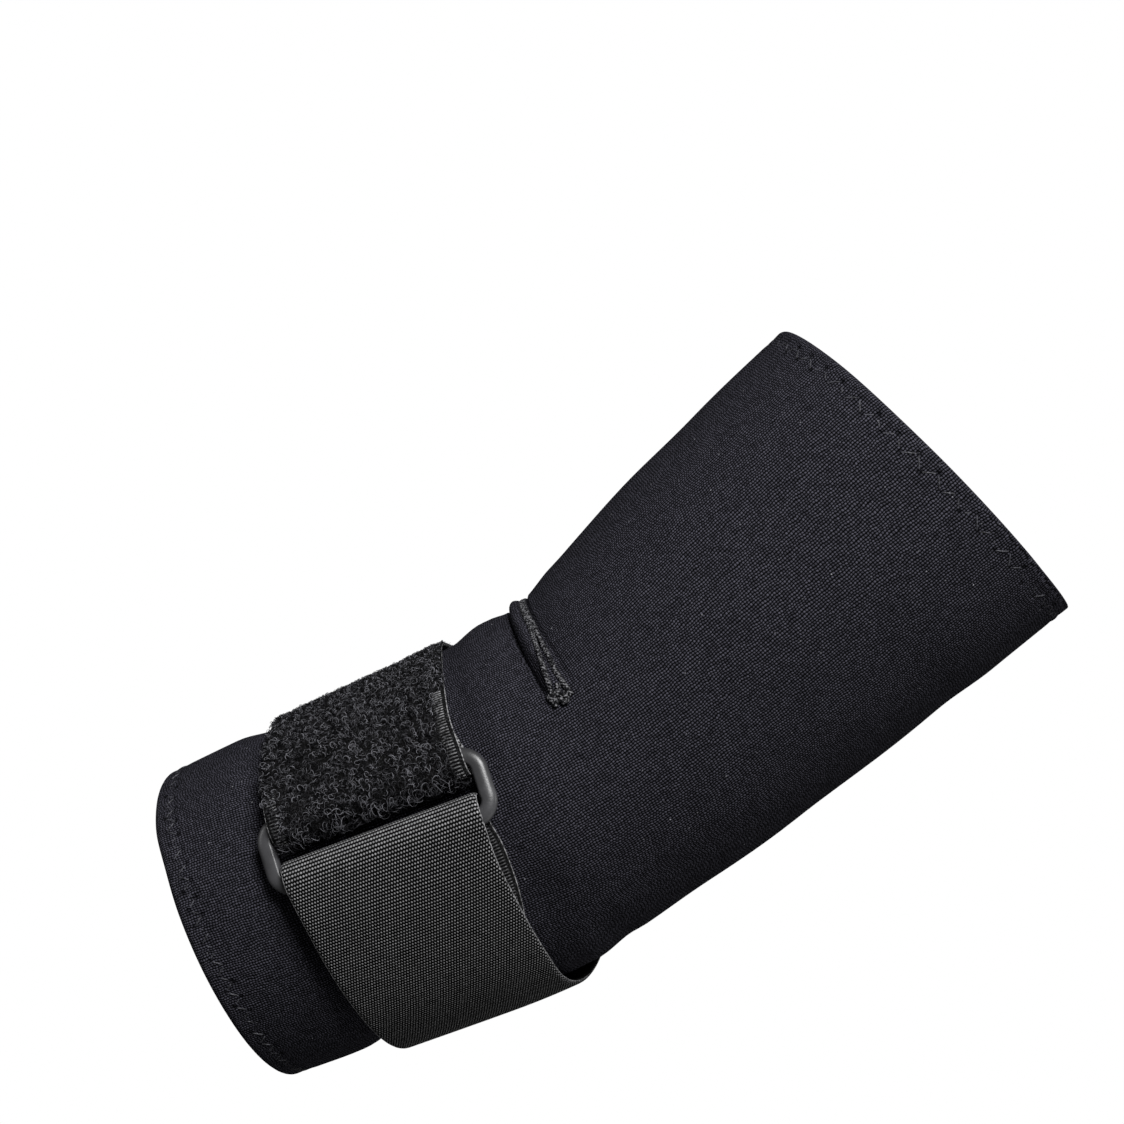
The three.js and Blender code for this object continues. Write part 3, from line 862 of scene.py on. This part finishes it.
def on_pile_face(across, run, height):
    """Points over the strap's middle, by the distance across it and along it. Pile stands on this side."""
    i = np.clip(np.searchsorted(strap_run, run) - 1, 0, len(strap_run) - 2)
    j = np.clip(np.searchsorted(strap_across, across) - 1, 0, len(strap_across) - 2)
    p = ((run - strap_run[i]) / (strap_run[i + 1] - strap_run[i]))[..., None]
    q = ((across - strap_across[j]) / (strap_across[j + 1] - strap_across[j]))[..., None]

    def between(grid):
        low = grid[i, j] * (1 - q) + grid[i, j + 1] * q
        high = grid[i + 1, j] * (1 - q) + grid[i + 1, j + 1] * q
        return low * (1 - p) + high * p

    return between(strap_lines) + np.asarray(height)[..., None] * between(strap_out)


def webbing_finish(fold):
    """Basket weave of black nylon: each pick shows as a bright dot of painted glint, drawn out to a dash near
    the fold, with painted shade in the dark gaps between.
    """
    material, shader, wire = new_finish("pile_webbing", {"Specular IOR Level": 0.04, "Coat Roughness": 0.35})
    pick, row = wire.threads()
    opened = (row * ROW - fold).step(*WEAVE_OPENS)
    shift = (math.floor(row) % 2) * 0.5
    across = (pick + shift) % 1 - 0.5
    along = row % 1 - 0.5
    dot = 1 - (across * (1.4 + opened * 0.7)) ** 2 - (along * 2.1) ** 2
    raised = dot.step(0.35, 0.98)
    # Painted glint on each raised pick, varied at random from pick to pick.
    tone_with_painted_light = raised * (0.6 + wire.grain(pick + shift, row) * 0.4)
    feed(shader, "Base Color", tone_with_painted_light.tint(WEAVE_DARK, WEAVE_PAINTED_GLINT))
    feed(shader, "Roughness", 0.8 - tone_with_painted_light * 0.3)
    feed(shader, "Coat Weight", raised * 0.5)
    feed(shader, "Normal", raised.relief(0.2))
    return material


def ground_height(across):
    """Height of the woven ground's upper face over the middle of the strap. Its edges are round."""
    inset = np.minimum(across, STRAP_WIDTH - across)
    roundness = np.sqrt(1 - (1 - np.clip(inset / GROUND_EDGE, 0, 1)) ** 2)
    return GROUND_MIDDLE + np.maximum(GROUND_HALF * roundness, GROUND_EDGE_LEAST)


def strap_piece():
    """The strap's woven ground as a closed ribbon with round edges. The pile stands on its upper face."""
    height = ground_height(strap_across)
    upper = strap_lines + strap_out * height[None, :, None]
    lower = strap_lines + strap_out * (2 * GROUND_MIDDLE - height)[None, :, None]
    points = np.concatenate([upper, lower[:, ::-1]], axis=1)
    picks = np.concatenate([strap_across, strap_across[::-1], strap_across[:1]]) / PICK
    rows = strap_run / ROW
    counts = np.stack(np.broadcast_arrays(picks[None, :], rows[:, None]), axis=-1)
    piece = cloth_piece("strap_webbing", points, counts, (False, True))
    column = np.arange(len(piece.data.polygons)) % points.shape[1]
    is_pile_face = (column < len(strap_across) - 1).astype(np.int32)
    piece.data.polygons.foreach_set("material_index", is_pile_face)
    return piece


def pile_ground_finish():
    """The close black ground that the pile is woven into."""
    material, shader, wire = new_finish("pile_ground", {"Specular IOR Level": 0.1})
    pick, row = wire.threads()
    yarn = wire.noise(2600.0, 3.0).step(0.45, 0.7) * wire.grain(pick * 2, row * 2)
    feed(shader, "Base Color", yarn.tint(GROUND_DARK, GROUND_LIGHT))
    feed(shader, "Roughness", 0.95 - yarn * 0.2)
    feed(shader, "Normal", yarn.relief(0.1))
    return material


strap = strap_piece()
strap.data.materials.append(webbing_finish(run_at(round_key + 3)))
strap.data.materials.append(pile_ground_finish())
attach(strap, "root")
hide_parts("strap")


# Selvages: both edges of the webbing end in a hard cord, and beside it the face is bare of pile and ribbed
# like a ladder, where the cross yarns turn back. The pile covers the ladders away from the ring.
CORD_RADIUS = 0.17
CORD_HIDDEN = 0.65
CORD_SINKS_BEFORE = 2.0
CORD_SINKS_AFTER = 3.0
CORD_RISES_BEFORE = 5.0
RUNG_PITCH = 0.8
RUNG_RADIUS = 0.2
RUNG_LENGTH = 2.5
RUNG_INSET = 0.8
RUNG_ARCH = 0.12
RUNG_TUCK = 0.15
RUNG_STEPS = 5
RUNG_SIDES = 5
# Yarn colours: black, and the lustre of the cord and the rungs painted as lighter flecks.
YARN_DARK = (0.01, 0.01, 0.011, 1)
CORD_PAINTED_LUSTRE = (0.4, 0.4, 0.41, 1)
RUNG_PAINTED_LUSTRE = (0.25, 0.25, 0.258, 1)
# The rungs' lustre dimmed as painted shade, for the ladder below the ring.
BELOW_RING_PAINTED_SHADE_LUSTRE = (0.06, 0.06, 0.064, 1)

# Places along the strap: both ends of the pile, the crest of the fold, where the selvages start to be bare,
# where the pile has covered each of them, and the ends of the stretch that shows below the ring.
PILE_FROM = run_at(fold_key - 4)
PILE_TO = run_at(fold_key + 12) - 5
CREST = run_at(fold_key - 3)
BARE_FROM = CREST + 1
OUTER_COVERED = run_at(fold_key + 1) - 5
BEND_COVERED = run_at(fold_key + 3) - 7.5
BELOW_RING = run_at(round_key - 4)
ROUND_END = run_at(round_key)


def yarn_finish(name, light):
    """Hard twisted selvage yarn: black, with its lustre painted into its colour as light flecks, stronger on
    some yarns than on others.
    """
    material, shader, wire = new_finish(name, {"Specular IOR Level": 0.5})
    number = wire.threads()[0]
    # Painted lustre: light flecks along the yarn, at a random strength for each yarn.
    ply = wire.noise(1700.0, 1.0).step(0.3, 0.7) * (0.4 + wire.grain(number, number) * 0.6)
    feed(shader, "Base Color", ply.tint(YARN_DARK, light))
    feed(shader, "Roughness", 0.55 - ply * 0.2)
    feed(shader, "Normal", ply.relief(0.06))
    return material


def cord_piece():
    """The cords along both edges, for the strap's whole length. They sink in where the pile covers them."""
    height = np.full_like(strap_run, GROUND_MIDDLE)
    paths = []
    hidden = []
    for edge, covered in ((0.0, OUTER_COVERED), (STRAP_WIDTH, BEND_COVERED)):
        paths.append(on_pile_face(np.full_like(strap_run, edge), strap_run, height))
        under_pile = ramp(strap_run, covered - CORD_SINKS_BEFORE, covered + CORD_SINKS_AFTER)
        hidden.append(under_pile * (1 - ramp(strap_run, PILE_TO - CORD_RISES_BEFORE, PILE_TO)))
    radius = CORD_RADIUS * (1 - CORD_HIDDEN * np.stack(hidden))
    upright = np.stack([strap_out[:, 0], strap_out[:, -1]])
    return thread_piece("selvage_cords", np.stack(paths), radius, upright, THREAD_SIDES)


def rung_piece(name, edge, side, low, high):
    """A ladder of cross yarns beside an edge, over one stretch. Side points from the edge into the strap."""
    run = np.arange(low, high, RUNG_PITCH)
    across = edge + side * np.linspace(RUNG_INSET, RUNG_INSET + RUNG_LENGTH, RUNG_STEPS)
    grid_run, grid_across = np.meshgrid(run, across, indexing="ij")
    arch = RUNG_ARCH * np.sin(np.linspace(RUNG_TUCK, np.pi - RUNG_TUCK, RUNG_STEPS))
    height = ground_height(grid_across) + arch
    paths = on_pile_face(grid_across, grid_run, height)
    upright = unit(on_pile_face(grid_across, grid_run, height + 1) - paths)
    return thread_piece(name, paths, RUNG_RADIUS, upright, RUNG_SIDES)


rung_yarn = yarn_finish("selvage_rungs", RUNG_PAINTED_LUSTRE)
# The ladder below the ring gets a darker copy of the rung yarn: painted shade.
painted_shade_rung_yarn = yarn_finish("selvage_rungs_below_painted_shade", BELOW_RING_PAINTED_SHADE_LUSTRE)
selvages = [
    cord_piece(),
    rung_piece("selvage_rungs_outer", 0.0, 1, BARE_FROM, OUTER_COVERED + 2),
    rung_piece("selvage_rungs_bend", STRAP_WIDTH, -1, BARE_FROM, BEND_COVERED - 1),
    rung_piece("selvage_rungs_below_painted_shade", STRAP_WIDTH, -1, BELOW_RING, ROUND_END),
]
selvages[0].data.materials.append(yarn_finish("selvage_cord", CORD_PAINTED_LUSTRE))
for piece, yarn in zip(selvages[1:], (rung_yarn, rung_yarn, painted_shade_rung_yarn)):
    piece.data.materials.append(yarn)
for piece in selvages:
    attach(piece, "root")


# Pile: a dense mat of curled nylon loops, brushed up from the webbing so that the strap's tail can grip it.
# The loops stand in loose clumps that lean their own way, with dark gaps between.
FIBRE_RADIUS = 0.078
FIBRE_SHARE = (0.75, 1.2)
FIBRE_TIP = 0.75
FIBRE_STEPS = 8
FIBRE_SIDES = 3
FIBRE_DARK = (0.0015, 0.0015, 0.002, 1)
FIBRE_LIGHT = (0.235, 0.235, 0.26, 1)

# Loops are drawn at random between these limits: tilt, radius, turn of the curl in radians, drift, and
# scatter as a share of the spacing. Their roots start a little below the ground's face.
PILE_SEED = 20
PILE_TILT = (34.0, 80.0)
PILE_RADIUS = (0.34, 0.86)
PILE_CURL = (3.4, 5.8)
PILE_DRIFT = (-0.5, 0.5)
PILE_SCATTER = (-0.6, 0.6)
PILE_ROOT = 0.1

# Clumps are sums of waves. One field of them sets where the pile is thick, high or left out, and another
# which way the loops lean, in radians.
CLUMP_WAVES = 14
CLUMP_SPREAD = (0.6, 1.4)
CLUMP_PHASE = (0.0, 6.28)
THICK_SIZE = 5.0
THICK_HEIGHT = 0.12
THICK_LEAST = -0.95
LEAN_SIZE = 9.0
LEAN_TURN = 2.2
LEAN_SCATTER = 1.2

# Stretches of pile: name, start and end as a share of the whole, and the spacing of the loops.
PILE_PARTS = [
    ("strap_pile_fold", 0.0, 0.26, 0.6),
    ("strap_pile_front", 0.26, 0.5, 0.6),
    ("strap_pile_back", 0.5, 1.0, 0.95),
]

# The selvages are bare beside the ring, and the pile spreads over them further up.
OUTER_BARE = 2.0
BEND_BARE = 3.2
BARE_FULL = CREST + 4
COVERS_BEFORE = 5.0
COVERS_AFTER = 1.0
OVERHANG = 0.2

# Longer, straighter loops hang from the crest of the fold into the ring's window. Over the top of the sleeve
# the pile is flattened and trimmed at the bend edge, and before that it leans out over the edge.
CREST_HALF_BREADTH = 6.0
CREST_GROWTH = 0.6
CREST_STANDING = 0.5
FLATTENING = 0.5
FLAT_FROM = BEND_COVERED
FLAT_TO = run_at(fold_key + 5)
EDGE_TRIM = 0.7
TRIM_FROM = STRAP_WIDTH - 4
EDGE_LEAN = 1.0
EDGE_LEAN_RISE = (BEND_COVERED, BEND_COVERED + 5)
EDGE_LEAN_FALL = (FLAT_TO - 8, FLAT_TO - 3)


def clumps(across, run, size, draw):
    """A soft random field over the strap, between about -1 and 1, with lumps of one size."""
    field = 0
    for _ in range(CLUMP_WAVES):
        heading = draw.uniform(0, 2 * np.pi)
        wave = 2 * np.pi / size * draw.uniform(*CLUMP_SPREAD)
        phase = draw.uniform(*CLUMP_PHASE)
        field = field + np.cos(wave * (across * np.cos(heading) + run * np.sin(heading)) + phase)
    return field / 4


def pile_roots(low, high, spacing, draw):
    """Where loops stand across and along one stretch of the strap, and how thick the pile is there."""
    grid = np.meshgrid(np.arange(0, STRAP_WIDTH, spacing), np.arange(low, high, spacing))
    across, run = (g.ravel() + draw.uniform(*PILE_SCATTER, g.size) * spacing for g in grid)
    thickness = clumps(across, run, THICK_SIZE, draw)
    past_crest = ramp(run, BARE_FROM, BARE_FULL)
    under_pile = [ramp(run, at - COVERS_BEFORE, at + COVERS_AFTER) for at in (OUTER_COVERED, BEND_COVERED)]
    outer_bare = OUTER_BARE * past_crest * (1 - under_pile[0])
    bend_bare = BEND_BARE * past_crest * (1 - under_pile[1])
    covered = (across > outer_bare - OVERHANG) & (STRAP_WIDTH - across > bend_bare - OVERHANG)
    kept = (thickness > THICK_LEAST) & covered
    return across[kept], run[kept], thickness[kept]


def pile_piece(name, start, end, spacing, draw):
    """Curled loops over one stretch of the strap. Each rises from the ground, leans over and curls back."""
    low = PILE_FROM + (PILE_TO - PILE_FROM) * start
    high = PILE_FROM + (PILE_TO - PILE_FROM) * end
    across, run, thickness = pile_roots(low, high, spacing, draw)
    count = len(across)
    heading = LEAN_TURN * clumps(across, run, LEAN_SIZE, draw) + draw.normal(0, LEAN_SCATTER, count)
    hanging = bump(run - CREST, CREST_HALF_BREADTH)
    flattened = ramp(run, FLAT_FROM, FLAT_TO)
    tilt = np.radians(draw.uniform(*PILE_TILT, count)) * (1 - CREST_STANDING * hanging)
    size = (1 + CREST_GROWTH * hanging) * (1 - FLATTENING * flattened)
    size = size * (1 - EDGE_TRIM * ramp(across, TRIM_FROM, STRAP_WIDTH) * flattened)
    radius = draw.uniform(*PILE_RADIUS, count) * size
    curl = draw.uniform(*PILE_CURL, count)
    drift = draw.uniform(*PILE_DRIFT, count)
    turn = np.linspace(0, 1, FIBRE_STEPS) * curl[:, None]
    swing = radius[:, None] * np.sin(turn)
    rise = radius[:, None] * (1 - np.cos(turn))
    slide = rise * np.sin(tilt)[:, None] + drift[:, None] * turn / np.pi
    root = GROUND_MIDDLE + GROUND_HALF - PILE_ROOT
    height = root + rise * np.cos(tilt)[:, None] + THICK_HEIGHT * thickness[:, None]
    side = np.cos(heading)[:, None], np.sin(heading)[:, None]
    at_across = across[:, None] + swing * side[0] - slide * side[1]
    at_run = run[:, None] + swing * side[1] + slide * side[0]
    leaning = ramp(run, *EDGE_LEAN_RISE) - ramp(run, *EDGE_LEAN_FALL)
    lean = (EDGE_LEAN * leaning)[:, None]
    at_across = np.clip(at_across, -OVERHANG, STRAP_WIDTH + OVERHANG + lean)
    at_run = np.clip(at_run, strap_run[1], strap_run[-2])
    paths = on_pile_face(at_across, at_run, height)
    first = paths[:, 2] - paths[:, 0]
    second = paths[:, 5] - paths[:, 0]
    upright = np.broadcast_to(np.cross(first, second)[:, None], paths.shape)
    taper = np.linspace(1, FIBRE_TIP, FIBRE_STEPS) * draw.uniform(*FIBRE_SHARE, count)[:, None]
    return thread_piece(name, paths, FIBRE_RADIUS * taper, upright, FIBRE_SIDES)


def fibre_finish():
    """Fine nylon fibre: black, with a few fibres much lighter than the rest, and patchy along each."""
    material, shader, wire = new_finish("pile_fibre", {"Specular IOR Level": 0.08})
    number = wire.threads()[0]
    own = wire.grain(number, number)
    shade = own**4 * (0.4 + wire.noise(900.0, 1.0) * 1.2)
    feed(shader, "Base Color", shade.tint(FIBRE_DARK, FIBRE_LIGHT))
    feed(shader, "Roughness", 0.55 - own * 0.2)
    return material


pile_fibre = fibre_finish()
pile_draw = np.random.default_rng(PILE_SEED)
pile = [pile_piece(*part, pile_draw) for part in PILE_PARTS]
for piece in pile:
    piece.data.materials.append(pile_fibre)
    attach(piece, "root")


# Studio: a pale floor well below the part, a white surround, and soft lights above, to the right and to the
# left. The camera stands at the photograph's place, turned so that the sleeve rises to the right.
CAMERA_DISTANCE = 800.0
SENSOR = 36.0
PICTURE = 1124
PIXELS_PER_MM = 4.03
ROLL = math.radians(32.9)
YAW = math.radians(-5.0)
TWIST = math.radians(-14.0)
AIM_X = 3.09
AIM_Z = -50.45
SURROUND_LIGHT = 0.056

# The floor's size and the lights are in metres. A light has its place to the right, upwards and towards the
# camera, its size, and its power in watts.
FLOOR_HEIGHT = -0.9
FLOOR_HALF = 0.6
FLOOR_DARK = (0.80, 0.80, 0.79, 1)
FLOOR_LIGHT = (0.84, 0.84, 0.83, 1)
KEY_LIGHT = (0.3, 0.86, 1.0, 0.55, 27.5)
RIGHT_LIGHT = (1.1, 0.25, 0.15, 0.2, 2.0)
LEFT_LIGHT = (-1.0, 0.3, 0.2, 0.3, 1.3)

rolled = Matrix.Rotation(ROLL, 3, "Y").inverted()
turned = rolled @ Matrix.Rotation(YAW, 3, "Z") @ Matrix.Rotation(TWIST, 3, "X")
to_world = turned.transposed()
camera_data = bpy.data.cameras.new("camera")
camera_data.sensor_width = SENSOR
camera_data.lens = PIXELS_PER_MM * CAMERA_DISTANCE / PICTURE * SENSOR
camera = bpy.data.objects.new("camera", camera_data)
place = to_world @ Vector((-AIM_X, -CAMERA_DISTANCE, -AIM_Z)) * MM
right = to_world @ Vector((1, 0, 0))
up = to_world @ Vector((0, 0, 1))
back = to_world @ Vector((0, -1, 0))
camera.matrix_world = Matrix((right, up, back)).transposed().to_4x4()
camera.matrix_world.translation = place
bpy.context.scene.collection.objects.link(camera)
bpy.context.scene.camera = camera


def softbox(name, sideways, upwards, towards, size, power):
    """A square soft light, placed by the picture's own directions and turned to the part."""
    data = bpy.data.lights.new(name, "AREA")
    data.size = size
    data.energy = power
    light = bpy.data.objects.new(name, data)
    light.location = right * sideways + up * upwards + back * towards
    light.rotation_euler = light.location.to_track_quat("Z", "Y").to_euler()
    bpy.context.scene.collection.objects.link(light)


softbox("key_light", *KEY_LIGHT)
softbox("right_light", *RIGHT_LIGHT)
softbox("left_light", *LEFT_LIGHT)

world = bpy.data.worlds.new("white_surround")
world.use_nodes = True
background = world.node_tree.nodes["Background"]
background.inputs["Color"].default_value = (1, 1, 1, 1)
surround = Wire(world.node_tree).node("ShaderNodeLightPath", output="Is Camera Ray")
feed(background, "Strength", SURROUND_LIGHT + surround * (1 - SURROUND_LIGHT))
bpy.context.scene.world = world
bpy.context.scene.view_settings.view_transform = "Standard"

floor_mesh = bpy.data.meshes.new("floor")
floor_signs = ((-1, -1), (1, -1), (1, 1), (-1, 1))
floor_corners = [(x * FLOOR_HALF, y * FLOOR_HALF, FLOOR_HEIGHT) for x, y in floor_signs]
floor_mesh.from_pydata(floor_corners, [], [(0, 1, 2, 3)])
floor = bpy.data.objects.new("floor", floor_mesh)
floor_material, floor_shader, floor_wire = new_finish("pale_floor", {"Roughness": 0.8})
feed(floor_shader, "Base Color", floor_wire.noise(3.0).tint(FLOOR_DARK, FLOOR_LIGHT))
floor_mesh.materials.append(floor_material)
bpy.context.scene.collection.objects.link(floor)
